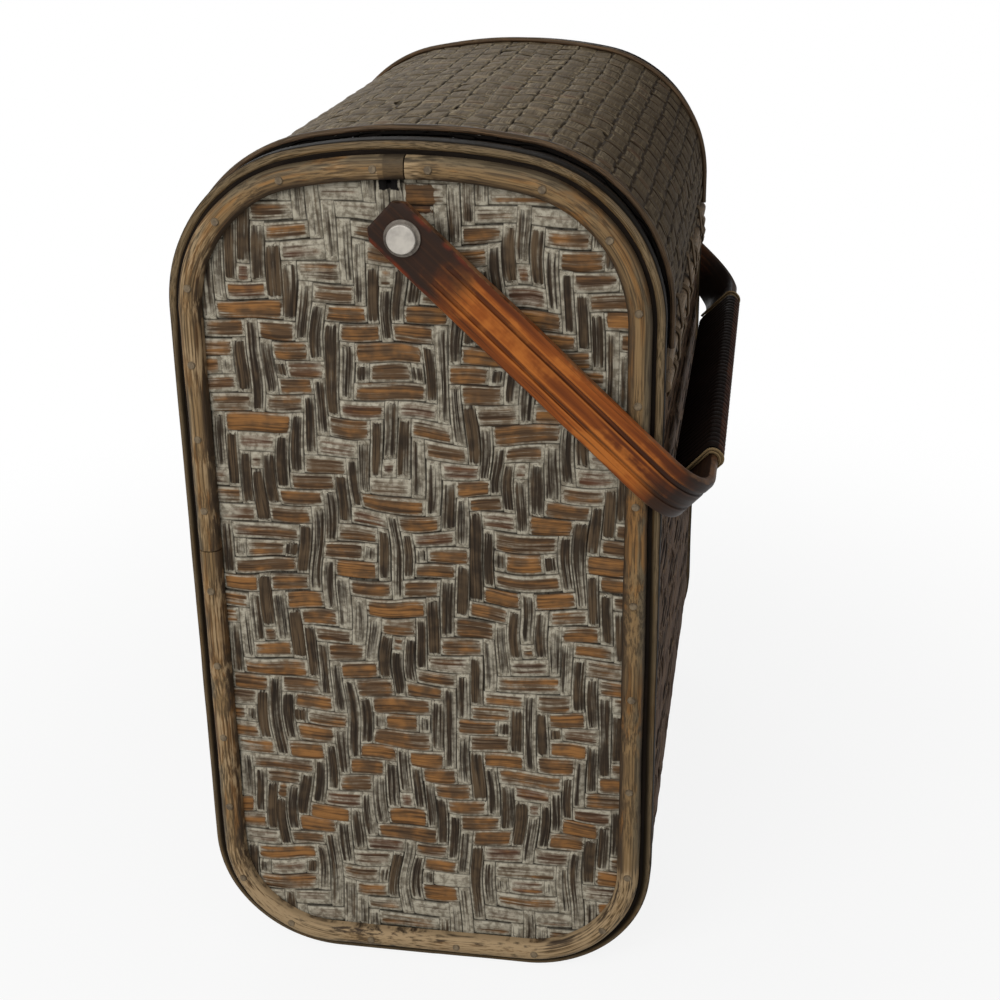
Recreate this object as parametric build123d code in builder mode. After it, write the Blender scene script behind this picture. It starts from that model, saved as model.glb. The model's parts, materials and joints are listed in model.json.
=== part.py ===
from build123d import *
import os
from itertools import accumulate
from math import acos, atan2, cos, degrees, hypot, pi, radians, sin, sqrt

# Wicker basket purse in millimetres. X runs across the end panels, Y along the grip
# (the front panel faces -Y) and Z up. The basket stands on z = 0.

# Basket, over the edge bands
body_width = 150.0
body_height = 282.0
body_depth = 236.0  # between the outer faces of the two end panels
crown_radius = 180.0
shoulder_radius = 50.0
corner_radius = 42.0

# Woven sheets and the cane bands round their edges
panel_thickness = 2.4
wall_thickness = 2.2
edge_band_width = 7.0
edge_band_thickness = 2.8
edge_band_setback = 0.5  # behind the panel's outer face
edge_band_round = 1.1
inner_band_width = 14.0
inner_band_thickness = 4.0
rim_width = 7.0
rim_height = 4.0
rim_round = 3.1
rim_inset = 3.8
rim_joint_gap = 0.4

# Brads through the rim and the panel into the inner band. The steps from one to the next
# run clockwise round the rim from its joint at the top, and stretch with the rim's length.
# The last few hold the rim's short length, which ends halfway to the brad before them.
brad_steps = (7, 33, 24, 23, 28, 32, 33, 33, 34, 33, 24, 27, 27, 30)
brad_steps += (29, 24, 29, 27, 27, 27, 28, 24, 24, 24, 23, 24, 28, 9)
short_rim_brads = 7
brad_head_radius = 1.25
brad_head_height = 0.5
brad_head_slope = 25.0
brad_shank_radius = 0.6
brad_length = 11.0
shank_play = 0.02  # round brads and rivets in their holes

# Lid: a woven arch with a rib under its front and back edges
lid_thickness = 2.2
lid_proud = 0.3  # over the edge bands
lid_edge_gap = 4.5  # between the edge band and the lid
lid_rib_width = 6.0
lid_rib_lift = 3.0  # from the shoulders' start up to the ribs' ends
lid_seat_gap = 0.5  # under the ribs

# Weave of the lid and the side wall: flat splints from front to back, which float over some
# rows of cross splints and dip under the next, in a zigzag from splint to splint
splint_pitch = 6.9
splint_width = 6.2
lid_row_pitch = 4.8
wall_row_pitch = 5.6
float_rows = 4
dip_rows = 2
zigzag_splints = 8
weave_relief = 0.8  # from the floats down to the rest of the sheet
float_seat = 0.5  # how deep the floats sit in it

# Border rods along the walls, and the lid's battens over them
wall_top = 206.2
rod_radius = 2.2
rod_inset = 0.6  # from the side of the edge bands to the rod's centre
rod_lift = 0.9  # between the wall's top and the rod
rod_end_gap = 0.3
batten_lift = 1.8  # between the rod and the batten
tie_thickness = 0.9
tie_width = 5.0
tie_grip = 6.0  # weave that a tie takes in
tie_slack = 0.05
loop_slack = 0.08
border_tie_inset = 28.0  # from the panels' outer faces to the middle of the end ties
lid_tie_inset = 54.0
lid_tie_offset = 12.0  # from the purse's middle to the inner ties
hinge_loop_inset = 40.0
hinge_loop_offset = 28.0

# Handle: a strap bent to a U, which turns on two rivets
pivot_drop = 26.0  # below the top of the arch
strap_width = 16.4
strap_thickness = 3.5
strap_reach = 118.5  # from the pivot to the grip's outer face
strap_end = 9.2  # beyond the pivot
strap_end_chamfer = 3.2
strap_bend_radius = 17.0
strap_edge_round = 1.5
strap_clearance = 0.9  # between the rim and the strap
strap_rest_gap = 2.6  # between the edge bands' side and the grip at rest
groove_width = 1.6
groove_depth = 0.5
groove_offset = 3.2  # each side of the strap's middle
groove_start = 17.0  # from the pivot

# Cane winding on the grip, between two ties
wrap_length = 180.0
wrap_loops = 24
wrap_cane_radius = 0.9
wrap_seat_gap = 0.2
wrap_bend_radius = 2.2  # where its ends turn along the grip
wrap_sample_step = 0.8  # between the points on which its gap to itself is measured
grip_tie_width = 3.2
grip_tie_thickness = 2.1

# Rivets
rivet_head_radius = 4.3
rivet_head_height = 1.8
rivet_head_round = 0.4
rivet_shank_radius = 2.0
rivet_tail_radius = 3.2
rivet_tail_height = 1.2
rivet_tail_slope = 20.0
washer_radius = 5.4
washer_thickness = 0.6
spacer_radius = 6.0
burr_radius = 7.0
burr_thickness = 1.0
pivot_play = 0.06  # round the shank in the strap
pivot_side_play = 0.1  # along the shank, each side of the strap

# Places that follow from the sizes
half_width = body_width / 2
half_depth = body_depth / 2
arch_side = half_width - shoulder_radius
arch_fall = sqrt((crown_radius - shoulder_radius) ** 2 - arch_side ** 2)
crown_centre = body_height - crown_radius
shoulder_height = crown_centre + arch_fall
shoulder_angle = degrees(acos(arch_side / (crown_radius - shoulder_radius)))
wall_inset = edge_band_thickness
inner_band_inset = wall_inset + wall_thickness
brad_grip = brad_length - rim_height - panel_thickness
lid_inner_inset = lid_thickness - lid_proud
float_sag = splint_width ** 2 / 8 / (corner_radius - wall_inset)  # of the outline under a float
rib_inner_inset = inner_band_inset - lid_seat_gap
band_back = half_depth - edge_band_setback - edge_band_width
lid_half_depth = band_back - lid_edge_gap
rod_half_length = band_back - rod_end_gap
rod_side = half_width - rod_inset
rod_height = wall_top + rod_lift + rod_radius
batten_rise = 2 * rod_radius + batten_lift
batten_height = rod_height + batten_rise
loop_bore = rod_radius + loop_slack
lid_bottom = batten_height + loop_bore + tie_thickness + tie_slack
rib_bottom = shoulder_height + lid_rib_lift
tie_reach = rod_radius + tie_slack + tie_thickness
slot_drop = tie_grip + tie_slack + tie_thickness / 2
border_tie_reach = half_depth - border_tie_inset
border_tie_places = [border_tie_reach * share for share in (-1, -0.5, 0, 0.5, 1)]
lid_tie_reach = half_depth - lid_tie_inset
lid_tie_places = [-lid_tie_reach, -lid_tie_offset, lid_tie_offset, lid_tie_reach]
hinge_loop_reach = half_depth - hinge_loop_inset
hinge_loop_places = [-hinge_loop_reach, -hinge_loop_offset, hinge_loop_offset, hinge_loop_reach]
pivot_height = body_height - pivot_drop
half_strap = strap_width / 2
strap_inner_reach = strap_reach - strap_thickness
strap_out = rim_height + strap_clearance
strap_half_depth = half_depth + strap_out + strap_thickness
washer_base = strap_out + strap_thickness + pivot_side_play
head_base = washer_base + washer_thickness
burr_base = -panel_thickness - burr_thickness

# At rest the handle hangs to the right, as low as the edge bands let it
rest_share = (half_width + strap_rest_gap) / hypot(strap_inner_reach, half_strap)
rest_drop = acos(rest_share) - atan2(half_strap, strap_inner_reach)
drop_cos = cos(rest_drop)
drop_sin = sin(rest_drop)
handle_swing = 180 + 2 * degrees(rest_drop)

# The origin is under the middle of the whole purse. On the left the ties stand out most,
# and on the right the rounded corner of the ties on the grip.
left_side = rod_side + tie_reach
corner_along = (strap_reach - strap_edge_round) * drop_cos
corner_across = (half_strap - strap_edge_round) * drop_sin
right_side = corner_along + corner_across + strap_edge_round + grip_tie_thickness
body_x = (left_side - right_side) / 2

os.makedirs("parts", exist_ok=True)


def save(piece, name):
    # labels a finished piece and writes its file
    piece.part.label = name
    export_step(piece.part, f"parts/{name}.step")


def end_plane(side, out=0.0):
    # faces out of the front (side -1) or the back (side 1) panel, out from its outer face
    return Plane(
        origin=(body_x, side * (half_depth + out), 0), x_dir=(-side, 0, 0), z_dir=(0, side, 0)
    )


def cross_plane(y=0.0):
    # faces the front, through the basket at y
    return Plane(origin=(body_x, y, 0), x_dir=(1, 0, 0), z_dir=(0, -1, 0))


def outer_face(piece, side):
    # the flat face furthest out at that end
    return piece.faces().filter_by(Axis.Y).sort_by(Axis.Y)[0 if side < 0 else -1]


def basket_outline(inset):
    # clockwise from the top of the arch, in from the edge band's outer face by inset
    crown = crown_radius - inset
    shoulder = shoulder_radius - inset
    corner = corner_radius - inset
    side = half_width - inset
    low_side = half_width - corner_radius
    crown_turn = 90 - shoulder_angle
    CenterArc((0, crown_centre), crown, 90, -crown_turn)
    CenterArc((arch_side, shoulder_height), shoulder, shoulder_angle, -shoulder_angle)
    Line((side, shoulder_height), (side, corner_radius))
    CenterArc((low_side, corner_radius), corner, 0, -90)
    Line((low_side, inset), (-low_side, inset))
    CenterArc((-low_side, corner_radius), corner, 270, -90)
    Line((-side, corner_radius), (-side, shoulder_height))
    CenterArc((-arch_side, shoulder_height), shoulder, 180, -shoulder_angle)
    CenterArc((0, crown_centre), crown, 90 + crown_turn, -crown_turn)


def ring_face(outer_inset, inner_inset=None):
    # the band between two insets, or the whole area inside one
    with BuildLine(Plane.XY) as outline:
        basket_outline(outer_inset)
    make_face(outline.line)
    if inner_inset is not None:
        with BuildLine(Plane.XY) as inner_outline:
            basket_outline(inner_inset)
        make_face(inner_outline.line, mode=Mode.SUBTRACT)


def along_outline(line, inset, shares):
    # places along a closed outline, at shares of its length clockwise from the arch's top, each
    # with the outline's direction there
    top_share = line.param_at_point((0, body_height - inset))
    turned = [(top_share + share) % 1 for share in shares]
    return [(line @ share, line % share) for share in turned]


def area_above(height, mode):
    with Locations((0, height)):
        Rectangle(2 * body_width, 2 * body_height, align=(Align.CENTER, Align.MIN), mode=mode)


def round_area(places, radius, mode=Mode.ADD):
    with Locations(*places):
        Circle(radius, mode=mode)


def cut_tie_slots(places, height):
    # slots through the weave for the ties' lower or upper bars
    with BuildSketch(Plane.YZ.offset(body_x)) as slots:
        with Locations(*[(place, height) for place in places]):
            Rectangle(tie_width + 2 * tie_slack, tie_thickness + 2 * tie_slack)
    extrude(slots.sketch, amount=body_width, both=True, mode=Mode.SUBTRACT)


# Brad places on the rim's centre line, and the butt joint on its left side
with BuildLine(Plane.XY) as rim_centre:
    basket_outline(rim_inset + rim_width / 2)
brad_shares = [station / sum(brad_steps) for station in accumulate(brad_steps[:-1])]
brad_points = along_outline(rim_centre.wire(), rim_inset + rim_width / 2, brad_shares)
brad_places = [(point.X, point.Y) for point, along in brad_points]
joint_brads = brad_places[-short_rim_brads - 1 :][:2]
rim_joint_height = (joint_brads[0][1] + joint_brads[1][1]) / 2
pivot_place = [(0, pivot_height)]

for end, side in (("front", -1), ("back", 1)):
    # Woven panel, with holes for the brads and the rivet
    with BuildPart() as panel:
        with BuildSketch(end_plane(side)):
            ring_face(wall_inset)
            round_area(brad_places, brad_shank_radius + shank_play, Mode.SUBTRACT)
            round_area(pivot_place, rivet_shank_radius + shank_play, Mode.SUBTRACT)
        extrude(amount=-panel_thickness)
    save(panel, f"{end}_panel")

    # Edge band round the outside, just behind the panel's face
    with BuildPart() as edge_band:
        with BuildSketch(end_plane(side, -edge_band_setback)):
            ring_face(0, edge_band_thickness)
        extrude(amount=-edge_band_width)
        end_faces = edge_band.faces().filter_by(Axis.Y)
        fillet([edge for face in end_faces for edge in face.outer_wire().edges()], edge_band_round)
    save(edge_band, f"{end}_edge_band")

    # Inner band behind the panel: the brads hold in it, and the lid seats on it
    with BuildPart() as inner_band:
        with BuildSketch(end_plane(side, -panel_thickness)):
            ring_face(inner_band_inset, inner_band_inset + inner_band_thickness)
        extrude(amount=-inner_band_width)
        with BuildSketch(end_plane(side, -panel_thickness)):
            round_area(brad_places, brad_shank_radius + shank_play)
        extrude(amount=-brad_grip - shank_play, mode=Mode.SUBTRACT)
    save(inner_band, f"{end}_inner_band")

    # Half-round rim on the panel's face: a short length up the left side to the top, and a
    # long one all the rest of the way round
    for length_name, cut, margin in (
        ("long", Mode.SUBTRACT, rim_joint_gap / 2),
        ("short", Mode.INTERSECT, -rim_joint_gap / 2),
    ):
        with BuildPart() as rim:
            with BuildSketch(end_plane(side)):
                ring_face(rim_inset, rim_inset + rim_width)
            extrude(amount=rim_height)
            fillet(outer_face(rim, side).edges(), rim_round)
            with BuildSketch(end_plane(side)):
                with Locations((margin, rim_joint_height - margin)):
                    Rectangle(body_width, body_height, align=(Align.MAX, Align.MIN))
            extrude(amount=rim_height, mode=cut)
            with BuildSketch(end_plane(side)):
                round_area(brad_places, brad_shank_radius + shank_play)
            extrude(amount=rim_height, mode=Mode.SUBTRACT)
        save(rim, f"{end}_rim_{length_name}")

    # Brads, with their heads on the rim's crest
    with BuildPart() as brads:
        with BuildSketch(end_plane(side, rim_height)):
            round_area(brad_places, brad_shank_radius)
        extrude(amount=-brad_length)
        with BuildSketch(end_plane(side, rim_height)):
            round_area(brad_places, brad_head_radius)
        extrude(amount=brad_head_height, taper=brad_head_slope)
    save(brads, f"{end}_rim_brads")

    # Rivet: a flat round head, the shank that the strap turns on and the closed tail
    with BuildPart() as rivet:
        with BuildSketch(end_plane(side, head_base)):
            round_area(pivot_place, rivet_head_radius)
        extrude(amount=rivet_head_height)
        fillet(outer_face(rivet, side).edges(), rivet_head_round)
        with BuildSketch(end_plane(side, head_base)):
            round_area(pivot_place, rivet_shank_radius)
        extrude(amount=burr_base - head_base)
        with BuildSketch(end_plane(side, burr_base)):
            round_area(pivot_place, rivet_tail_radius)
        extrude(amount=-rivet_tail_height, taper=rivet_tail_slope)
    save(rivet, f"{end}_rivet")

    # Washer under the rivet's head, collar between panel and strap, and burr inside
    for ring_name, base, radius, thickness in (
        ("head_washer", washer_base, washer_radius, washer_thickness),
        ("spacer", 0.0, spacer_radius, strap_out - pivot_side_play),
        ("burr", burr_base, burr_radius, burr_thickness),
    ):
        with BuildPart() as ring:
            with BuildSketch(end_plane(side, base)):
                round_area(pivot_place, radius)
                round_area(pivot_place, rivet_shank_radius + shank_play, Mode.SUBTRACT)
            extrude(amount=thickness)
        save(ring, f"{end}_{ring_name}")

    # Bent rib under the lid's edge, which seats on the inner band
    with BuildPart() as lid_rib:
        with BuildSketch(end_plane(side, lid_half_depth - half_depth)):
            ring_face(lid_inner_inset, rib_inner_inset)
            area_above(rib_bottom, Mode.INTERSECT)
        extrude(amount=-lid_rib_width)
    save(lid_rib, f"lid_{end}_rib")

# The outline of the edge bands, along which the splints of the lid and the side wall lie
with BuildLine(Plane.XY) as outer_outline:
    basket_outline(0)
outer_line = outer_outline.wire()


def side_station(height):
    # how far along that outline the right side is at that height, clockwise from the top
    crown_arc = radians(90 - shoulder_angle) * crown_radius
    return crown_arc + radians(shoulder_angle) * shoulder_radius + shoulder_height - height


def add_floats(start, end, inset, half_length, row_pitch):
    # the floats of the splints between two stations, their tops in from the outline by inset
    splints = round((end - start) / splint_pitch)
    rows = round(2 * half_length / row_pitch)
    row_length = 2 * half_length / rows
    stations = [start + (end - start) * (splint + 0.5) / splints for splint in range(splints)]
    shares = [station / outer_line.length for station in stations]
    floats = {}
    for splint, (point, along) in enumerate(along_outline(outer_line, 0, shares)):
        out = Vector(-along.Y, 0, along.X)
        middle = Vector(body_x + point.X, 0, point.Y) - out * (inset + float_sag)
        steps = (splint - splints // 2 + zigzag_splints) % (2 * zigzag_splints) - zigzag_splints
        first = (dip_rows * abs(steps) - float_rows + 1) % (float_rows + dip_rows)
        for row in range(first - float_rows - dip_rows, rows, float_rows + dip_rows):
            low = max(row, 0)
            high = min(row + float_rows, rows)
            if high > low:
                centre = middle + Vector(0, (low + high) / 2 * row_length - half_length, 0)
                float_plane = Plane(origin=centre, x_dir=(0, 1, 0), z_dir=out)
                floats.setdefault(high - low, []).append(float_plane)
    for covered, places in floats.items():
        with Locations(*places):
            Box(
                covered * row_length,
                splint_width,
                weave_relief + float_seat,
                align=(Align.CENTER, Align.CENTER, Align.MAX),
            )


# Side wall: one woven sheet up the left side, under the bottom and up the right side
wall_half_depth = half_depth - panel_thickness
wall_start = side_station(wall_top)
with BuildPart() as side_wall:
    with BuildSketch(cross_plane()):
        ring_face(wall_inset + weave_relief, inner_band_inset)
        area_above(wall_top, Mode.SUBTRACT)
    extrude(amount=wall_half_depth, both=True)
    wall_end = outer_line.length - wall_start
    add_floats(wall_start, wall_end, wall_inset, wall_half_depth, wall_row_pitch)
    cut_tie_slots(border_tie_places, wall_top - slot_drop)
save(side_wall, "side_wall")

# Woven lid, an arch over the whole top
lid_end = side_station(lid_bottom)
with BuildPart() as lid_weave:
    with BuildSketch(cross_plane()):
        ring_face(weave_relief - lid_proud, lid_inner_inset)
        area_above(lid_bottom, Mode.INTERSECT)
    extrude(amount=lid_half_depth, both=True)
    add_floats(-lid_end, lid_end, -lid_proud, lid_half_depth, lid_row_pitch)
    cut_tie_slots(lid_tie_places, lid_bottom + slot_drop)
save(lid_weave, "lid_weave")

# Rods along the tops of the walls, and the lid's battens over them
for rod_name, side, height, half_length in (
    ("hinge_rod", 1, rod_height, rod_half_length),
    ("left_border_rod", -1, rod_height, rod_half_length),
    ("lid_hinge_batten", 1, batten_height, lid_half_depth),
    ("lid_closing_batten", -1, batten_height, lid_half_depth),
):
    with BuildPart() as rod:
        with BuildSketch(cross_plane()):
            round_area([(side * rod_side, height)], rod_radius)
        extrude(amount=half_length, both=True)
    save(rod, rod_name)

# Cane ties, each a ring round a rod and the edge of the weave beside it
wall_edge = (half_width - wall_inset - wall_thickness / 2, wall_top - tie_grip / 2, wall_thickness)
lid_edge = (half_width + lid_proud - lid_thickness / 2, lid_bottom + tie_grip / 2, lid_thickness)
for tie_name, side, height, woven_edge, places in (
    ("hinge_rod_ties", 1, rod_height, wall_edge, border_tie_places),
    ("left_border_ties", -1, rod_height, wall_edge, border_tie_places),
    ("lid_hinge_ties", 1, batten_height, lid_edge, lid_tie_places),
    ("lid_closing_ties", -1, batten_height, lid_edge, lid_tie_places),
):
    edge_side, edge_height, edge_thickness = woven_edge
    with BuildPart() as ties:
        for place in places:
            for margin, mode in ((tie_slack + tie_thickness, Mode.ADD), (tie_slack, Mode.SUBTRACT)):
                with BuildSketch(cross_plane(place)):
                    round_area([(side * rod_side, height)], rod_radius + margin)
                    with Locations((side * edge_side, edge_height)):
                        RectangleRounded(edge_thickness + 2 * margin, tie_grip + 2 * margin, margin)
                    make_hull()
                extrude(amount=tie_width / 2, both=True, mode=mode)
    save(ties, tie_name)

# Hinge loops: cane rings round the fixed rod and the lid's batten
with BuildPart() as hinge_loops:
    for place in hinge_loop_places:
        with BuildSketch(cross_plane(place)):
            with Locations((rod_side, rod_height + batten_rise / 2)):
                SlotCenterToCenter(batten_rise, 2 * (loop_bore + tie_thickness), rotation=90)
                SlotCenterToCenter(batten_rise, 2 * loop_bore, rotation=90, mode=Mode.SUBTRACT)
        extrude(amount=tie_width / 2, both=True)
save(hinge_loops, "hinge_loops")

# Handle, drawn as it rests: its plane's x runs from the pivot to the grip, y along the grip
# and z across the strap
handle_plane = Plane(
    origin=(body_x, 0, pivot_height), x_dir=(drop_cos, 0, -drop_sin), z_dir=(drop_sin, 0, drop_cos)
)
reach_axis = Axis(handle_plane.origin, handle_plane.x_dir)


def strap_face(inset, start=-strap_end, mode=Mode.ADD):
    # the area inside the bent strap from start on, in from its outer face by inset
    far = strap_reach - inset
    wide = strap_half_depth - inset
    bend = strap_bend_radius - inset
    with BuildLine(Plane.XY) as strap_line:
        Polyline((far - bend, -wide), (start, -wide), (start, wide), (far - bend, wide))
        CenterArc((far - bend, wide - bend), bend, 90, -90)
        Line((far, wide - bend), (far, bend - wide))
        CenterArc((far - bend, bend - wide), bend, 0, -90)
    make_face(strap_line.line, mode=mode)


with BuildPart() as handle_strap:
    with BuildSketch(handle_plane):
        strap_face(0)
        strap_face(strap_thickness, mode=Mode.SUBTRACT)
    extrude(amount=half_strap, both=True)
    end_edges = handle_strap.edges().filter_by(Axis.Y).group_by(reach_axis)[0]
    chamfer(end_edges, strap_end_chamfer)
    side_faces = handle_strap.faces().filter_by(Axis(handle_plane.origin, handle_plane.z_dir))
    side_edges = [edge for face in side_faces for edge in face.edges()]
    fillet(ShapeList(side_edges).sort_by(reach_axis)[4:], strap_edge_round)
    for groove_place in (-groove_offset, groove_offset):
        with BuildSketch(handle_plane.offset(groove_place)):
            strap_face(0, groove_start)
            strap_face(groove_depth, groove_start, Mode.SUBTRACT)
        extrude(amount=groove_width / 2, both=True, mode=Mode.SUBTRACT)
    with BuildSketch(end_plane(1)):
        round_area(pivot_place, rivet_shank_radius + pivot_play)
    extrude(amount=2 * body_depth, both=True, mode=Mode.SUBTRACT)
save(handle_strap, "handle_strap")

# Winding on the grip: one unbroken cane, square across the outer face, round both edges of
# the strap, and on to the next turn in an S across the inner face
seat = wrap_seat_gap + wrap_cane_radius
wrap_out = strap_reach + seat
wrap_in = strap_inner_reach - seat
wrap_edge = half_strap - strap_thickness / 2
wrap_tail = wrap_bend_radius + 2 * wrap_cane_radius
wrap_pitch = (wrap_length - 2 * wrap_tail) / wrap_loops
wrap_start = -wrap_length / 2
across = handle_plane.z_dir
with BuildPart() as grip_wrap:
    with BuildLine(handle_plane) as wrap_path:
        along = wrap_start + wrap_tail
        bend_start = along - wrap_bend_radius
        Line((wrap_out, wrap_start, 0), (wrap_out, bend_start, 0))
        TangentArc(
            (wrap_out, bend_start, 0), (wrap_out, along, -wrap_bend_radius), tangent=Vector(0, 1, 0)
        )
        Line((wrap_out, along, -wrap_bend_radius), (wrap_out, along, -wrap_edge))
        for loop in range(wrap_loops):
            next_along = along + wrap_pitch
            TangentArc((wrap_out, along, -wrap_edge), (wrap_in, along, -wrap_edge), tangent=-across)
            half_s = TangentArc(
                (wrap_in, along, -wrap_edge), (wrap_in, along + wrap_pitch / 2, 0), tangent=across
            )
            TangentArc(half_s @ 1, (wrap_in, next_along, wrap_edge), tangent=half_s % 1)
            TangentArc(
                (wrap_in, next_along, wrap_edge), (wrap_out, next_along, wrap_edge), tangent=across
            )
            along = next_along
            if loop < wrap_loops - 1:
                Line((wrap_out, along, wrap_edge), (wrap_out, along, -wrap_edge))
        Line((wrap_out, along, wrap_edge), (wrap_out, along, wrap_bend_radius))
        TangentArc(
            (wrap_out, along, wrap_bend_radius), (wrap_out, along + wrap_bend_radius, 0), tangent=-across
        )
        Line((wrap_out, along + wrap_bend_radius, 0), (wrap_out, along + wrap_tail, 0))
    with BuildSketch(Plane(origin=wrap_path.line @ 0, z_dir=wrap_path.line % 0)):
        Circle(wrap_cane_radius)
    sweep()
save(grip_wrap, "grip_wrap")

# The winding's least gap to itself, between points more than a half turn round the edge apart
wrap_line = wrap_path.wire()
sample_count = round(wrap_line.length / wrap_sample_step)
wrap_points = [tuple(wrap_line @ (index / sample_count)) for index in range(sample_count + 1)]
skip = round(pi * (strap_thickness / 2 + seat) / wrap_sample_step)
reach = round(2 * wrap_line.length / wrap_loops / wrap_sample_step)
wrap_gap = min(
    hypot(*(a - b for a, b in zip(point, other)))
    for index, point in enumerate(wrap_points)
    for other in wrap_points[index + skip : index + reach]
)
swept_volume = pi * wrap_cane_radius ** 2 * wrap_line.length
print(f"Winding: least gap to itself {wrap_gap - 2 * wrap_cane_radius:.2f} mm")
print(f"Winding: volume {grip_wrap.part.volume:.0f}, section times length {swept_volume:.0f} mm3")

# Ties over the winding's two ends
with BuildPart() as grip_ties:
    for tie_side in (-1, 1):
        tie_middle = tie_side * (wrap_length + grip_tie_width) / 2
        tie_centre = handle_plane.from_local_coords((strap_reach - strap_thickness / 2, tie_middle, 0))
        with BuildSketch(Plane(origin=tie_centre, x_dir=handle_plane.x_dir, z_dir=(0, 1, 0))):
            RectangleRounded(
                strap_thickness + 2 * grip_tie_thickness,
                strap_width + 2 * grip_tie_thickness,
                strap_edge_round + grip_tie_thickness,
            )
            RectangleRounded(
                strap_thickness + 2 * tie_slack,
                strap_width + 2 * tie_slack,
                strap_edge_round,
                mode=Mode.SUBTRACT,
            )
        extrude(amount=grip_tie_width / 2, both=True)
save(grip_ties, "grip_ties")

print(f"Handle: hangs {degrees(rest_drop):.2f} degrees below level, swings {handle_swing:.2f} degrees")
print(f"Basket's centre line at x = {body_x:.3f}")
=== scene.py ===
import json
import math
import random
import bmesh
import bpy
from mathutils import Matrix, Vector, noise


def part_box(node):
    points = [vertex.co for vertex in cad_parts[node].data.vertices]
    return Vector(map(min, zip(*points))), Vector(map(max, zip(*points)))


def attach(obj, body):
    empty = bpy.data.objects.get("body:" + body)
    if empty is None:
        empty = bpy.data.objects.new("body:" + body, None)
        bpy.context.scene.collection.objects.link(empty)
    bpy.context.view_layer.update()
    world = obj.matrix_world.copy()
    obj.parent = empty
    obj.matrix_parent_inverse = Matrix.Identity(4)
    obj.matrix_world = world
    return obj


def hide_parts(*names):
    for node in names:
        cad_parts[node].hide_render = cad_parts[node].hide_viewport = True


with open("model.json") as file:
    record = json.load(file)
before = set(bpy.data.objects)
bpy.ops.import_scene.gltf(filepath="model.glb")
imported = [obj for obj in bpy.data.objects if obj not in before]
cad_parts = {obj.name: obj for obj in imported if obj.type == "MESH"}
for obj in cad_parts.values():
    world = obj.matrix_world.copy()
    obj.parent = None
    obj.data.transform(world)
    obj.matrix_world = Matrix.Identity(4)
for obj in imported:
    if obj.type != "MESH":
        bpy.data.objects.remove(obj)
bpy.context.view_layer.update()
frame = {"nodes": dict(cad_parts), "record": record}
print("frame loaded")


# Outline of the basket, shared by every band and sheet, in metres

basket = {
    "width": 0.150,
    "height": 0.282,
    "depth": 0.236,
    "crownRadius": 0.180,
    "shoulderRadius": 0.050,
    "cornerRadius": 0.042,
}
crownRadius = basket["crownRadius"]
shoulderRadius = basket["shoulderRadius"]
cornerRadius = basket["cornerRadius"]
halfWidth = basket["width"] / 2
halfDepth = basket["depth"] / 2
archSide = halfWidth - shoulderRadius
archReach = crownRadius - shoulderRadius
crownCentre = basket["height"] - crownRadius
shoulderHeight = crownCentre + math.sqrt(archReach ** 2 - archSide ** 2)
shoulderAngle = math.acos(archSide / archReach)
lowSide = halfWidth - cornerRadius
crownLength = crownRadius * (math.pi / 2 - shoulderAngle)
shoulderLength = shoulderRadius * shoulderAngle
sideLength = shoulderHeight - cornerRadius
cornerLength = cornerRadius * math.pi / 2
halfOutline = crownLength + shoulderLength + sideLength + cornerLength + lowSide
lowCorner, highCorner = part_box("front_panel")
middleX = (lowCorner.x + highCorner.x) / 2


def clamped(value):
    return max(0, min(1, value))


def roundAt(centreX, centreZ, radius, angle):
    out = Vector((math.cos(angle), 0, math.sin(angle)))
    return Vector((centreX, 0, centreZ)) + out * radius, out


def outlineAt(station):
    # the place on the outer outline, clockwise from its top, and the way out of it there
    left = abs(station)
    if left > halfOutline:
        return outlineAt(station - math.copysign(2 * halfOutline, station))
    if left < crownLength:
        angle = math.pi / 2 - left / crownRadius
        place, out = roundAt(0, crownCentre, crownRadius, angle)
    elif left < crownLength + shoulderLength:
        angle = shoulderAngle - (left - crownLength) / shoulderRadius
        place, out = roundAt(archSide, shoulderHeight, shoulderRadius, angle)
    elif left < crownLength + shoulderLength + sideLength:
        height = shoulderHeight - (left - crownLength - shoulderLength)
        place, out = roundAt(halfWidth, height, 0, 0)
    elif left < halfOutline - lowSide:
        angle = -(left - crownLength - shoulderLength - sideLength) / cornerRadius
        place, out = roundAt(lowSide, cornerRadius, cornerRadius, angle)
    else:
        place, out = roundAt(halfOutline - left, 0, 0, -math.pi / 2)
    if station < 0:
        place.x, out.x = -place.x, -out.x
    place.x += middleX
    return place, out


def stationAt(height):
    # how far down a straight side that height is, along the outline from its top
    return crownLength + shoulderLength + shoulderHeight - height


def topAt(x, inset):
    crown = crownRadius - inset
    if abs(x) < crown * math.cos(shoulderAngle):
        return crownCentre + math.sqrt(crown ** 2 - x ** 2)
    reach = shoulderRadius - inset
    return shoulderHeight + math.sqrt(max(0, reach ** 2 - (abs(x) - archSide) ** 2))


def bottomAt(x, inset):
    reach = cornerRadius - inset
    past = max(0, abs(x) - lowSide)
    return cornerRadius - math.sqrt(max(0, reach ** 2 - past ** 2))


def sideAt(z, inset):
    if z < cornerRadius:
        reach = cornerRadius - inset
        return lowSide + math.sqrt(max(0, reach ** 2 - (cornerRadius - z) ** 2))
    if z < shoulderHeight:
        return halfWidth - inset
    if z < shoulderHeight + (shoulderRadius - inset) * math.sin(shoulderAngle):
        reach = shoulderRadius - inset
        return archSide + math.sqrt(reach ** 2 - (z - shoulderHeight) ** 2)
    return math.sqrt(max(0, (crownRadius - inset) ** 2 - (z - crownCentre) ** 2))


# Strips of cane

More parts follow.
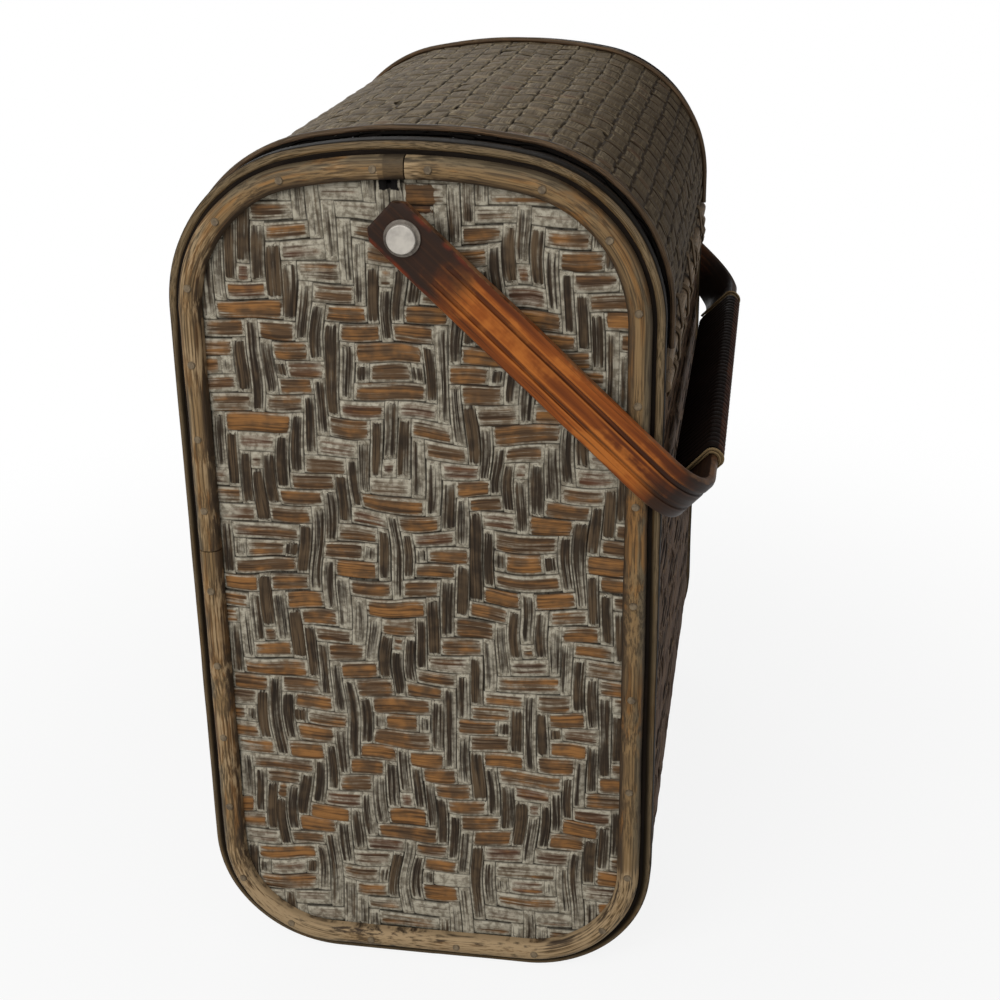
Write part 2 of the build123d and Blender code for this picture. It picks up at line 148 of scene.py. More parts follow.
def flatSection(width, thickness, dome):
    # round a flat splint from its left edge: domed above, flat below
    half, skin = width / 2, thickness / 2
    above = [(-0.84, 0.55), (-0.4, 0.95), (0.4, 0.95), (0.84, 0.55)]
    section = [(-half, 0)]
    section += [(half * share, skin + dome * rise) for share, rise in above]
    section += [(half, 0), (half * 0.7, -skin), (-half * 0.7, -skin)]
    return section


def roundSection(across, high, count):
    # an oval, from its lowest point round
    turns = [2 * math.pi * step / count - math.pi / 2 for step in range(count)]
    return [(across / 2 * math.cos(turn), high / 2 * math.sin(turn)) for turn in turns]


def newMesh():
    mesh = bmesh.new()
    mesh.loops.layers.uv.new("cane")
    mesh.verts.layers.float_vector.new("marks")
    return mesh


def addStrip(mesh, stations, section, place, marksAt, closed=False):
    # one strip: place(index, across, lift) gives its points, and marksAt its tone, height and kind
    columns, rows = len(section), len(stations) - 1
    half = max(abs(across) for across, lift in section)
    uvLayer = mesh.loops.layers.uv["cane"]
    marksLayer = mesh.verts.layers.float_vector["marks"]
    made = bmesh.ops.create_grid(mesh, x_segments=columns, y_segments=rows, size=1)
    verts = made["verts"]
    faces = {face for vert in verts for face in vert.link_faces}
    shift = random.random() * 5
    for face in faces:
        for loop in face.loops:
            corner = loop.vert.co
            row = round((corner.y + 1) / 2 * rows)
            column = round((corner.x + 1) / 2 * columns) % columns
            loop[uvLayer].uv = (stations[row] + shift, section[column][0] / half)
    for vert in verts:
        row = round((vert.co.y + 1) / 2 * rows)
        column = round((vert.co.x + 1) / 2 * columns) % columns
        vert.co = place(row, *section[column])
        vert[marksLayer] = marksAt(row)
    ends = [] if closed else [vert for vert in verts if vert.is_boundary]
    bmesh.ops.remove_doubles(mesh, verts=verts, dist=2e-6)
    if not closed:
        edges = {edge for vert in ends if vert.is_valid for edge in vert.link_edges if edge.is_boundary}
        bmesh.ops.holes_fill(mesh, edges=list(edges), sides=len(section))


def finishPiece(mesh, name, body, nodes, material, sharp=math.radians(50)):
    # turns a bmesh into a piece of the object
    bmesh.ops.recalc_face_normals(mesh, faces=mesh.faces)
    data = bpy.data.meshes.new(name)
    mesh.to_mesh(data)
    mesh.free()
    data.shade_smooth()
    data.set_sharp_from_angle(angle=sharp)
    data.materials.append(material)
    piece = bpy.data.objects.new(name, data)
    bpy.context.scene.collection.objects.link(piece)
    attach(piece, body)
    if nodes:
        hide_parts(*nodes)
    return piece


# Woven sheets

splint = {
    "bed": 0.28,  # from a crossing's middle to where a splint leaves it, as a share of the pitch
    "sink": 0.14,  # height lost at a float's first and last crossing
    "slope": 0.5,
    "endClear": 0.001,
    "swellSize": 0.012,
    "rippleSize": 0.008,
    "breakReach": 1.4,  # of a broken place's size, within which splints are narrower
    "breakSlope": 0.5,
    "driftSeed": 0.3,
    "driftApart": 40.5,  # between the noises of the two ways
}


def wander(seed, along, amount, size=0.03):
    return amount * noise.noise(Vector((along / size, seed * 7.31, 0)))


def driftAt(across, along, fromEdge, weave, seed):
    # how far a whole weave has shifted at a place, each way, with none at its edges
    amount = weave["drift"] * clamped(fromEdge / weave["driftFade"])
    spot = Vector((across / weave["driftSize"], along / weave["driftSize"], seed + splint["driftSeed"]))
    other = spot + Vector((0, 0, splint["driftApart"]))
    return amount * noise.noise(spot), amount * noise.noise(other)


def widthLeft(x, y, weave):
    # the share of a splint's width that is left near the weave's broken places
    reaches = [math.hypot(x - holeX, y - holeY) / size for holeX, holeY, size in weave["holes"]]
    if min(reaches, default=9) > splint["breakReach"]:
        return 1
    return weave["breakShare"] + splint["breakSlope"] * min(reaches)


def addWoven(mesh, centres, ends, width, crossings, pitch, isOver, place, weave, kind):
    # a family of splints that pass over and under the crossings; kind is 1 for the one that lies across
    section = flatSection(width, weave["thickness"], weave["dome"])
    for index, centre in enumerate(centres):
        start, end = ends(centre)
        if end - start < width:
            continue
        stations, heights, floats = [start], [0], [0]
        passed = [entry for entry in enumerate(crossings) if start < entry[1] < end]
        run, was = 0, None
        for number, crossing in passed:
            over = isOver(index, number)
            last = isOver(index, number + 1) != over
            first = isOver(index, number - 1) != over
            run += over != was
            was = over
            sign = 1 if over else -1
            for share in (-splint["bed"], 0, splint["bed"]):
                along = crossing + share * pitch
                if start + splint["endClear"] < along < end - splint["endClear"]:
                    rising = 1 - first * (splint["sink"] - share * splint["slope"])
                    falling = 1 - last * (splint["sink"] + share * splint["slope"])
                    stations.append(along)
                    heights.append(sign * min(rising, falling))
                    floats.append(run)
        stations.append(end)
        heights.append(heights[-1])
        floats.append(run)
        heights[0] = heights[1]
        seed = random.random() * 900
        tones = [random.random() for step in range(run + 2)]
        own = random.random()
        lean = random.uniform(-1, 1) * weave["lean"]
        share = 1 - weave["narrow"] * random.random() ** 3

        def strandPlace(row, across, lift):
            along = stations[row]
            swell = share + wander(seed + 3, along, weave["swell"], splint["swellSize"])
            offset = wander(seed, along, weave["wander"])
            rise = lift + heights[row] * weave["rise"] + lean * across
            rise += wander(seed + 9, along, weave["ripple"], splint["rippleSize"])
            left = widthLeft(along, centre, weave) if kind else widthLeft(centre, along, weave)
            beside = centre + offset + across * swell * left
            return place(beside, along, rise) if kind else place(along, beside, rise)

        def strandMarks(row):
            return (0.5 * own + 0.5 * tones[floats[row]], 0.5 + 0.5 * heights[row], kind)

        addStrip(mesh, stations, section, strandPlace, strandMarks)


# Shader maths

class Socket:
    # a shader socket that can be used in sums
    def __init__(self, finish, output):
        self.finish = finish
        self.output = output

    def __add__(self, other):
        return self.finish.maths("ADD", self, other)

    def __sub__(self, other):
        return self.finish.maths("SUBTRACT", self, other)

    def __rsub__(self, other):
        return self.finish.maths("SUBTRACT", other, self)

    def __mul__(self, other):
        return self.finish.maths("MULTIPLY", self, other)

    def __abs__(self):
        return self.finish.maths("ABSOLUTE", self)

    __radd__ = __add__
    __rmul__ = __mul__


class Finish:
    # a material and the nodes in it
    def __init__(self, name):
        self.material = bpy.data.materials.new(name)
        self.material.use_nodes = True
        self.tree = self.material.node_tree
        self.tree.nodes.clear()

    def node(self, kind, settings=None, inputs=None, output=0):
        made = self.tree.nodes.new("ShaderNode" + kind)
        for key, value in (settings or {}).items():
            setattr(made, key, value)
        for key, value in (inputs or {}).items():
            if isinstance(value, Socket):
                self.tree.links.new(value.output, made.inputs[key])
            else:
                made.inputs[key].default_value = value
        return Socket(self, made.outputs[output])

    def maths(self, operation, *values):
        return self.node("Math", {"operation": operation}, dict(enumerate(values)))

    def most(self, first, second):
        return self.maths("MAXIMUM", first, second)

    def mix(self, factor, first, second):
        settings = {"data_type": "RGBA", "clamp_factor": True}
        return self.node("Mix", settings, {0: factor, 6: first, 7: second}, 2)

    def step(self, value, low, high):
        # from 0 at low to 1 at high
        settings = {"interpolation_type": "SMOOTHSTEP"}
        return self.node("MapRange", settings, {0: value, 1: low, 2: high})

    def parts(self, vector, count=3):
        return [self.node("SeparateXYZ", {}, {0: vector}, axis) for axis in range(count)]

    def noise(self, vector, scale, detail=3, rough=0.55):
        inputs = {"Vector": vector, "Scale": scale, "Detail": detail, "Roughness": rough}
        return self.node("TexNoise", {}, inputs)

    def bump(self, height, strength, distance):
        return self.node("Bump", {}, {"Height": height, "Strength": strength, "Distance": distance})

    def close(self, **inputs):
        # the surface, from the Principled sockets' names without their spaces
        names = {key.replace("_", " "): value for key, value in inputs.items()}
        return self.show(self.node("BsdfPrincipled", {}, names))

    def show(self, surface):
        shown = self.tree.nodes.new("ShaderNodeOutputMaterial")
        self.tree.links.new(surface.output, shown.inputs["Surface"])
        return self.material


def rgb(red, green, blue):
    # a colour as a screen shows it, from 0 to 255, in the linear numbers that a shader takes
    shares = (value / 255 for value in (red, green, blue))
    linear = [s / 12.92 if s <= 0.04045 else ((s + 0.055) / 1.055) ** 2.4 for s in shares]
    return (*linear, 1)


def colours(**shades):
    return {name: rgb(*shade) for name, shade in shades.items()}


def caneParts(finish, look):
    # what every cane material starts from: its place, its marks and its fibres' noises
    uv = finish.node("TexCoord", output="UV")
    place = finish.node("TexCoord", output="Object")
    marks = finish.node("Attribute", {"attribute_name": "marks"}, output="Vector")
    along, across = finish.parts(uv, 2)
    tone, height, kind = finish.parts(marks)
    fibreAt = {0: along * look["fibreRun"], 1: across * look["fibres"], 2: tone * 31}
    streakAt = {0: along * 16, 1: across * look["fibres"] * 0.32, 2: tone * 17}
    fibre = finish.noise(finish.node("CombineXYZ", {}, fibreAt), 1, 4, 0.62)
    streak = finish.noise(finish.node("CombineXYZ", {}, streakAt), 1, 3, 0.5)
    return place, across, tone, height, kind, fibre, streak


def splintFinish(name, look):
    # woven splints: light and dark wood in the grain, limewash left at their ends and edges, and painted
    # shade in the gaps between them
    finish = Finish(name)
    place, across, tone, height, kind, fibre, streak = caneParts(finish, look)
    stain = finish.noise(place, look["stainScale"], 4, 0.6)
    speck = finish.noise(place, 520, 3, 0.6)
    spots = finish.noise(place, look["spotScale"], 2)
    x, y, z = finish.parts(place)
    onTop = finish.step(height, 0.6, 1.0)

    def patch(spot, soft):
        # 1 inside a square patch of the front, whose edge is uneven
        patchX, patchZ, reach = spot
        away = finish.most(abs(x - (middleX + patchX)), abs(z - patchZ)) + (speck - 0.5) * 0.002
        return (1 - finish.step(away, reach - soft, reach)) * finish.step(y * -1, 0, 0.01)

    dark = finish.mix(kind, look["dark"], look["crossDark"])
    middle = finish.mix(kind, look["middle"], look["crossMiddle"])
    light = finish.mix(kind, look["light"], look["crossLight"])
    red = finish.step(tone + (stain - 0.5) * 0.6, 0.62, 0.8) * kind
    middle = finish.mix(red * 0.7, middle, look["red"])
    # lighter wood in streaks and spots, shown only on the floats' raised tops: partly a painted highlight
    glow = finish.step((1 - tone) * 0.4 + streak * 0.8 + spots * 0.7, 0.88, 1.22)
    wood = finish.mix(glow * onTop, middle, light)
    wood = finish.mix(finish.step(fibre, 0.44, 0.66) * look["grain"], wood, dark)
    lime = finish.mix(finish.step(speck, 0.36, 0.62), look["limeShade"], look["lime"])
    lime = finish.mix(finish.step(fibre, 0.52, 0.74) * look["cracks"], lime, dark)
    cover = look["cover"] + (tone - 0.5) * look["floatCover"] + (stain - 0.5) * look["patchCover"]
    cover = cover + (1 - onTop) * look["endCover"] + finish.step(abs(across), 0.5, 0.84) * look["edgeCover"]
    if "limeAbove" in look:
        above = finish.step(z + (stain - 0.5) * 0.09, *look["limeAbove"])
        outer = finish.step(abs(x - middleX) + (stain - 0.5) * 0.05, *look["limeOuter"]) * 0.6
        below = 0.8 - finish.step(z + (stain - 0.5) * 0.06, *look["limeBelow"]) * 0.8
        cover = cover + finish.most(finish.most(above, outer), below) * look["limeShare"]
    if "bare" in look:
        cover = cover - patch(look["bare"], 0.001)
    limed = finish.step(cover - (fibre - 0.32) * 1.7 - (streak - 0.38) * 1.5, -0.36, 0.36)
    colour = finish.mix(limed, wood, lime)
    # painted shade: the splints darken along their edges, where they lie beside each other, and at their
    # floats' ends, where they dive under the crossings
    edge = abs(across) + (speck - 0.5) * 0.1
    gapShade = look["gapShade"]
    # painted shade: towards the lid's right, the dark gaps between the splints widen and deepen
    if "darkRight" in look:
        right = finish.step(x + (stain - 0.5) * 0.04, *(middleX + away for away in look["right"]))
        edge = edge + right * look["rightGapShade"]
        gapShade = gapShade + right * look["rightShadeDepth"]
    ends = 1 - finish.step(height, *look["gapShadeEnd"])
    deep = finish.most(finish.step(edge, *look["gapShadeEdge"]), ends) * gapShade
    colour = finish.mix(deep, colour, look["dark"])
    if "darkRight" in look:
        colour = finish.mix(right * look["darkRight"], colour, look["rightShade"])
    # painted shade: the splints' ends under the lid's edge strands go near black
    if "endShade" in look:
        colour = finish.mix(finish.step(abs(y), *look["endShade"]), colour, look["holeShade"])
    # painted shade: the broken place in the front panel is coloured near black, as the dark inside seen
    # through it
    if "holeShadePatch" in look:
        colour = finish.mix(patch(look["holeShadePatch"], 0.0004), colour, look["holeShade"])
    rough = 0.8 - (1 - limed) * 0.1 + (fibre - 0.5) * 0.2
    normal = finish.bump((1 - fibre) * 0.6 + streak * 0.4, look["relief"], 0.0005)
    return finish.close(Base_Color=colour, Roughness=rough, Specular_IOR_Level=look["shine"], Normal=normal)


def caneFinish(name, look):
    # bent or wound cane, its colour changing from one side to the other, with painted shade along its edges
    # and on the rim's inner side
    finish = Finish(name)
    # the marks' second number: limewash where positive; where negative, painted shade on the edge bands and
    # the grip winding, and the dark patch by the rim's top joint
    place, across, tone, pale, kind, fibre, streak = caneParts(finish, look)
    stain = finish.noise(place, look["stainScale"], 4, 0.6)
    side = across + (streak - 0.5) * 1.3
    # from the outer side to the inner; the rim's darker inner side, next to the panel, is painted shade
    colour = finish.mix(finish.step(side, -0.8, -0.1), look["outer"], look["middle"])
    colour = finish.mix(finish.step(side, 0.1, 0.8), colour, look["inner"])
    amber = finish.step(streak + (stain - 0.5) * 0.9 + (tone - 0.5) * 0.3, 0.5, 0.72)
    colour = finish.mix(amber * look["amberShare"], colour, look["amber"])
    colour = finish.mix((1 - finish.step(fibre, 0.36, 0.60)) * look["lines"], colour, look["dark"])
    colour = finish.mix(finish.step(stain, 0.5, 0.72) * look["stains"], colour, look["dark"])
    chalk = finish.step(pale + (fibre - 0.5) * 0.9 + (stain - 0.5) * 0.9, 0.42, 0.62)
    colour = finish.mix(chalk, colour, look["pale"])
    # darker where the marks are negative: painted shade on the edge bands and grip winding, strongest on
    # the edge bands' inner side
    shade = finish.step((fibre - 0.5) * 0.9 - pale * (1 + across * look["shadeSide"]), 0.2, 0.7)
    colour = finish.mix(shade * 0.9, colour, look["dark"])
    # painted shade along both edges of the strand
    edge = finish.step(across + (fibre - 0.5) * 0.2, 0.78, 0.98) * look["innerEdgeShade"]
    edge = edge + finish.step((fibre - 0.5) * 0.2 - across, 0.78, 0.98) * look["outerEdgeShade"]
    edge = edge * (1 - finish.step(pale, 0.12, 0.4) * 0.8)
    colour = finish.mix(edge, colour, look["dark"])
    rough = 0.62 + (fibre - 0.5) * 0.3 + chalk * 0.15
    normal = finish.bump(fibre * 0.6 + streak * 0.4, look["relief"], 0.0005)
    return finish.close(Base_Color=colour, Roughness=rough, Specular_IOR_Level=look["shine"], Normal=normal)


# Twill end panels

panel = {
    "uprightPitch": 0.00419,
    "uprightWidth": 0.0043,
    "firstUpright": -0.00776,  # the weave's middle, left of the basket's
    "crossPitch": 0.00604,
    "crossWidth": 0.0062,
    "firstCross": 0.2125,  # height of the crossing splint that the diamonds are counted from
    "inset": 0.0075,  # where the splints end, under the rim
    "depth": 0.0012,  # from the panel's outer face to its middle
    "thickness": 0.0006,
    "dome": 0.00022,
    "rise": 0.00042,
    "wander": 0.00022,
    "drift": 0.0026,  # of the whole weave
    "driftSize": 0.022,
    "driftFade": 0.02,  # in from the edges
    "swell": 0.05,
    "narrow": 0.10,
    "ripple": 0.00014,
    "lean": 0.07,
    "holes": ((-0.0055, 0.2705, 0.0030),),
    "breakShare": 0.3,  # of a splint's width, left in the middle of a broken place
}


def diamond(number):
    return abs((number + 10) % 20 - 10)


def crossOnTop(column, row):
    return (diamond(column) - diamond(row) + 1) % 6 in (0, 1, 2)


def panelWeave(name, side, material, seed):
    random.seed(seed)
    mesh = newMesh()
    inset = panel["inset"]
    weave = panel if side < 0 else {**panel, "holes": ()}
    columns = range(-15, 19)
    rows = range(-10, 35)
    uprights = [panel["firstUpright"] + panel["uprightPitch"] * column for column in columns]
    crossings = [panel["firstCross"] - panel["crossPitch"] * row for row in rows]

    def place(along, across, lift):
        fromEdge = min(sideAt(along, inset) - abs(across), topAt(across, inset) - along,
                       along - bottomAt(across, inset))
        driftX, driftZ = driftAt(across, along, fromEdge, panel, seed)
        x = middleX - side * (across + driftX)
        return Vector((x, side * (halfDepth - panel["depth"] + lift), along + driftZ))

    def uprightEnds(x):
        if abs(x) > halfWidth - inset:
            return 0, 0
        return bottomAt(x, inset), topAt(x, inset)

    def crossEnds(z):
        if not inset < z < basket["height"] - inset:
            return 0, 0
        reach = sideAt(z, inset)
        return -reach, reach

    def uprightOver(index, number):
        return not crossOnTop(columns[index], rows[-1] - number)

    def crossOver(index, number):
        return crossOnTop(number + columns[0], rows[index])

    addWoven(mesh, uprights, uprightEnds, panel["uprightWidth"], crossings[::-1],
             panel["crossPitch"], uprightOver, place, weave, 0)
    addWoven(mesh, crossings, crossEnds, panel["crossWidth"], uprights,
             panel["uprightPitch"], crossOver, place, weave, 1)
    return finishPiece(mesh, name, "basket", [name.replace("_twill", "_panel")], material)


panelLook = {
    **colours(dark=(26, 20, 15), middle=(50, 40, 30), light=(84, 68, 50), crossDark=(42, 31, 22),
              crossMiddle=(86, 65, 45), crossLight=(138, 96, 54), red=(88, 53, 37),
              lime=(168, 161, 144), limeShade=(120, 112, 97), holeShade=(14, 11, 9)),
    "cover": 0.1, "floatCover": 0.7, "patchCover": 1.1, "endCover": 0.75, "edgeCover": 0.45,
    "limeAbove": (0.236, 0.276),  # heights between which the limewash grows
    "limeBelow": (0.015, 0.050),
    "limeOuter": (0.046, 0.066),  # from the middle
    "limeShare": 0.4, "grain": 0.75, "cracks": 0.5, "gapShade": 0.8, "gapShadeEdge": (0.83, 0.99),
    "gapShadeEnd": (0.42, 0.56), "shine": 0.14,
    "bare": (0.0035, 0.2655, 0.0045),  # unlimed wood beside the broken place
    # the broken place below is painted near black, as the shade seen through it
    "holeShadePatch": (-0.0055, 0.2706, 0.0030),  # the broken place beside the handle's end
    "fibres": 3.6, "fibreRun": 45, "spotScale": 190, "stainScale": 26, "relief": 0.6,
}
panelFinish = splintFinish("twill_cane", panelLook)
panelWeave("front_twill", -1, panelFinish, 11)
panelWeave("back_twill", 1, panelFinish, 12)
print("end panels woven")


# Lid and side wall: splints from front to back, with narrow ones round the arch between them

lid = {
    "bottom": 0.21873,
    "halfLength": 0.1024,
    "inset": 0.0008,
    "lengthPitch": 0.0069,
    "lengthWidth": 0.0074,
    "archPitch": 0.0048,
    "archWidth": 0.0052,
    "over": 2,  # crossings that a splint from front to back floats over, of each period
    "period": 3,
    "shift": 1,  # crossings between one splint's floats and the next one's
    "thickness": 0.0006,
    "dome": 0.0002,
    "rise": 0.0004,
    "wander": 0.0006,
    "drift": 0.0030,  # of the whole weave
    "driftSize": 0.035,
    "driftFade": 0.02,
    "driftRound": 0.35,  # how much of the drift goes round the arch
    "swell": 0.08,
    "narrow": 0.08,
    "ripple": 0.0002,
    "lean": 0.12,
    "holes": ((-0.021, -0.045, 0.004), (0.020, -0.052, 0.003), (0.049, -0.052, 0.003)),
    "breakShare": 0.25,
}
wall = {
    **lid,
    "top": 0.2060,
    "inset": 0.0016,  # nearly flush with the edge bands that it ends against
    "halfLength": 0.1104,
    "archPitch": 0.0056,
    "archWidth": 0.0060,
    "over": 4,
    "period": 6,
    "shift": 2,
    "holes": (),
}


def sheetWeave(name, sheet, first, last, body, node, material, seed):
    random.seed(seed)
    mesh = newMesh()
    reach = sheet["halfLength"]
    count = round((last - first) / sheet["lengthPitch"])
    pitch = (last - first) / count
    lengthwise = [first + pitch * (index + 0.5) for index in range(count)]
    rowCount = round(2 * reach / sheet["archPitch"])
    archPitch = 2 * reach / rowCount
    archwise = [archPitch * (index + 0.5) - reach for index in range(rowCount)]
    middle = count // 2

    def place(along, across, lift):
        fromEdge = min(reach - abs(along), across - first, last - across)
        driftU, driftY = driftAt(across, along, fromEdge, sheet, seed)
        spot, out = outlineAt(across + driftU * sheet["driftRound"])
        return spot + out * (lift - sheet["inset"]) + Vector((0, along + driftY, 0))

    def lengthOnTop(column, row):
        zigzag = abs((column - middle + 8) % 16 - 8)
        return (sheet["shift"] * zigzag - row) % sheet["period"] < sheet["over"]

    def archOver(index, number):
        return not lengthOnTop(number, index)

    addWoven(mesh, lengthwise, lambda station: (-reach, reach), sheet["lengthWidth"], archwise, archPitch,
             lengthOnTop, place, sheet, 0)
    addWoven(mesh, archwise, lambda y: (first, last), sheet["archWidth"], lengthwise, pitch,
             archOver, place, sheet, 1)
    return finishPiece(mesh, name, body, [node], material)


sheetLook = {
    "red": rgb(100, 72, 55),
    "cover": 0.1, "floatCover": 0.6, "patchCover": 0.8, "endCover": 0.35, "edgeCover": 0.35,
    "cracks": 0.3, "gapShadeEnd": (0.46, 0.60), "shine": 0.05, "fibres": 5, "fibreRun": 34,
    "spotScale": 120, "stainScale": 20, "relief": 0.45,
}
lidLook = {
    **sheetLook,
    **colours(dark=(34, 27, 20), middle=(94, 81, 62), light=(112, 98, 76), crossDark=(34, 27, 20),
              crossMiddle=(84, 72, 55), crossLight=(104, 90, 69), lime=(148, 134, 109),
              limeShade=(112, 99, 78), rightShade=(46, 32, 22), holeShade=(14, 11, 9)),
    "grain": 0.35, "gapShade": 0.7, "gapShadeEdge": (0.80, 0.96),
    "right": (0.025, 0.070),  # from the middle, between which the lid grows darker
    "darkRight": 0.4, "rightGapShade": 0.15, "rightShadeDepth": 0.15, "endShade": (0.1012, 0.1018),
}
wallLook = {
    **sheetLook,
    **colours(dark=(32, 23, 17), middle=(86, 64, 48), light=(110, 86, 65), crossDark=(30, 22, 16),
              crossMiddle=(70, 52, 39), crossLight=(92, 71, 53), lime=(132, 110, 88),
              limeShade=(96, 76, 59)),
    "grain": 0.6, "gapShade": 0.9, "gapShadeEdge": (0.76, 0.92),
}
lidEnd = stationAt(lid["bottom"])
wallStart = stationAt(wall["top"])
lidFinish = splintFinish("lid_cane", lidLook)
wallFinish = splintFinish("wall_cane", wallLook)
sheetWeave("lid_splints", lid, -lidEnd, lidEnd, "lid", "lid_weave", lidFinish, 21)
sheetWeave("wall_splints", wall, wallStart, 2 * halfOutline - wallStart, "basket", "side_wall",
           wallFinish, 31)
print("lid and side wall woven")


# Bands of cane bent round the outline

rim = {
    "inset": 0.0073,
    "width": 0.0070,
    "height": 0.0040,
    "jointHeight": 0.1518,
    "jointGap": 0.0002,
    "step": 0.0020,
    "wobble": 0.00018,
}
edgeBand = {
    "thickness": 0.0028,
    "width": 0.0070,
    "round": 0.0007,
    "setback": 0.0005,
    "step": 0.0025,
    "wobble": 0.00015,
}
margin = {
    "outer": 0.0022,  # the trimmed splint ends, under the rim
    "inner": 0.0095,
    "thickness": 0.0018,
    "setback": 0.0007,
    "step": 0.0030,
    "wobble": 0,
}


def evenStations(start, end, step):
    count = max(2, round((end - start) / step))
    return [start + (end - start) * index / count for index in range(count + 1)]


def addBand(mesh, start, end, section, band, inset, base, side, closed=False, limeAndShadeAt=None):
    # section runs across the band (inwards) and out of the face, which is base from the middle
    stations = evenStations(start, end, band["step"])
    seed = random.random() * 500

    def place(row, across, rise):
        along = stations[row]
        if closed and row == len(stations) - 1:
            along = stations[0]
        spot, out = outlineAt(along)
        shift = wander(seed, along, band["wobble"], 0.02)
        ragged = wander(seed + across * 4000, along, band["wobble"], 0.006)
        spot = spot - out * (inset + across * (1 + wander(seed + 5, along, 0.06, 0.03)) + shift)
        spot.y = side * (base + rise + (ragged + shift) * (rise > 0.0005))
        spot.z = max(0, spot.z)
        return spot

    def marksAt(row):
        pale = limeAndShadeAt(stations[row]) if limeAndShadeAt else 0
        return (0.5 + wander(seed + 2, stations[row], 0.5, 0.05), pale, 0)

    addStrip(mesh, stations, section, place, marksAt, closed)


def rimSection():
    half, high = rim["width"] / 2, rim["height"]
    above = [(-0.98, 0.34), (-0.88, 0.62), (-0.66, 0.85), (-0.34, 0.97), (0, 1)]
    above += [(-share, rise) for share, rise in reversed(above[:-1])]
    section = [(-half, 0)]
    section += [(half * share, high * rise) for share, rise in above]
    return section + [(half, 0), (half * 0.5, 0.0001), (-half * 0.5, 0.0001)]


def edgeSection():
    half, deep, bend = edgeBand["thickness"] / 2, edgeBand["width"], edgeBand["round"]
    section = [(half, -bend), (half - 0.3 * bend, -0.3 * bend), (half - bend, 0)]
    section += [(-x, y) for x, y in reversed(section)]
    return section + [(-half, bend - deep), (bend - half, -deep), (half - bend, -deep), (half, bend - deep)]


rimLook = {
    **colours(dark=(38, 30, 22), outer=(108, 94, 72), middle=(128, 103, 70), inner=(76, 60, 43),
              amber=(146, 102, 53), pale=(156, 133, 101)),
    "amberShare": 0.6, "lines": 0.7, "stains": 0.3, "innerEdgeShade": 0.85, "outerEdgeShade": 0.6,
    "shadeSide": 0, "shine": 0.16, "fibres": 6, "fibreRun": 13, "stainScale": 34, "relief": 0.6,
}
rimFinish = caneFinish("rim_cane", rimLook)
edgeLook = {
    **rimLook,
    **colours(dark=(14, 11, 8), outer=(108, 93, 73), middle=(124, 106, 80), inner=(92, 75, 53),
              amber=(128, 97, 57)),
    "shadeSide": 0.9, "shine": 0.02, "amberShare": 0.4, "innerEdgeShade": 0.95, "outerEdgeShade": 0.95,
}
edgeFinish = caneFinish("edge_cane", edgeLook)
# the trimmed splint ends under the rim, coloured near black as painted shade in the groove between the rim
# and the edge band
marginShadeLook = {
    **rimLook,
    **colours(dark=(16, 12, 9), outer=(26, 20, 15), middle=(26, 20, 15), inner=(30, 24, 18),
              amber=(42, 32, 23)),
    "shine": 0.05,
}
marginShadeFinish = caneFinish("margin_shade_cane", marginShadeLook)
rimLime = {
    "least": 0.1,
    "left": 0.42,  # up the left side
    "leftReach": 0.08,
    "foot": 0.55,
    "footReach": 0.03,
    "joint": 0.6,  # on the short length, from the top joint
    "jointReach": 0.05,
    "longJoint": 0.55,  # on the long length
    "longReach": 0.04,
    "patch": -0.45,  # the dark patch on the short length's end
    "patchReach": 0.0070,
}
# painted shade on the edge bands, growing down each side
edgeDark = {
    "most": 0.5,
    "left": (0.8, 0.03),  # its start down the shoulder, as a share, and the length that it grows over
    "right": (1.2, 0.08),
}


def rimPale(side):
    # the limewash that is left on the rim near its joints and foot, and the rim paler up its left side
    def limeAndShadeAt(station):
        past = side * station
        if -rimLime["patchReach"] < past < 0:
            return rimLime["patch"]
        if past < 0:
            left = rimLime["left"] * min(1, -past / rimLime["leftReach"])
            return max(left, rimLime["joint"] * max(0, 1 + past / rimLime["jointReach"]))
        fromFoot = abs(past - halfOutline) - lowSide - cornerLength
        foot = rimLime["foot"] * clamped(1 - fromFoot / rimLime["footReach"])
        left = rimLime["left"] if past > halfOutline else rimLime["least"]
        return max(foot, left, rimLime["longJoint"] * max(0, 1 - past / rimLime["longReach"]))
    return limeAndShadeAt


def edgeShade(station):
    # painted shade: the edge bands are dark from below the shoulders down
    start, reach = edgeDark["left" if station < 0 else "right"]
    return -edgeDark["most"] * clamped((abs(station) - crownLength - shoulderLength * start) / reach)


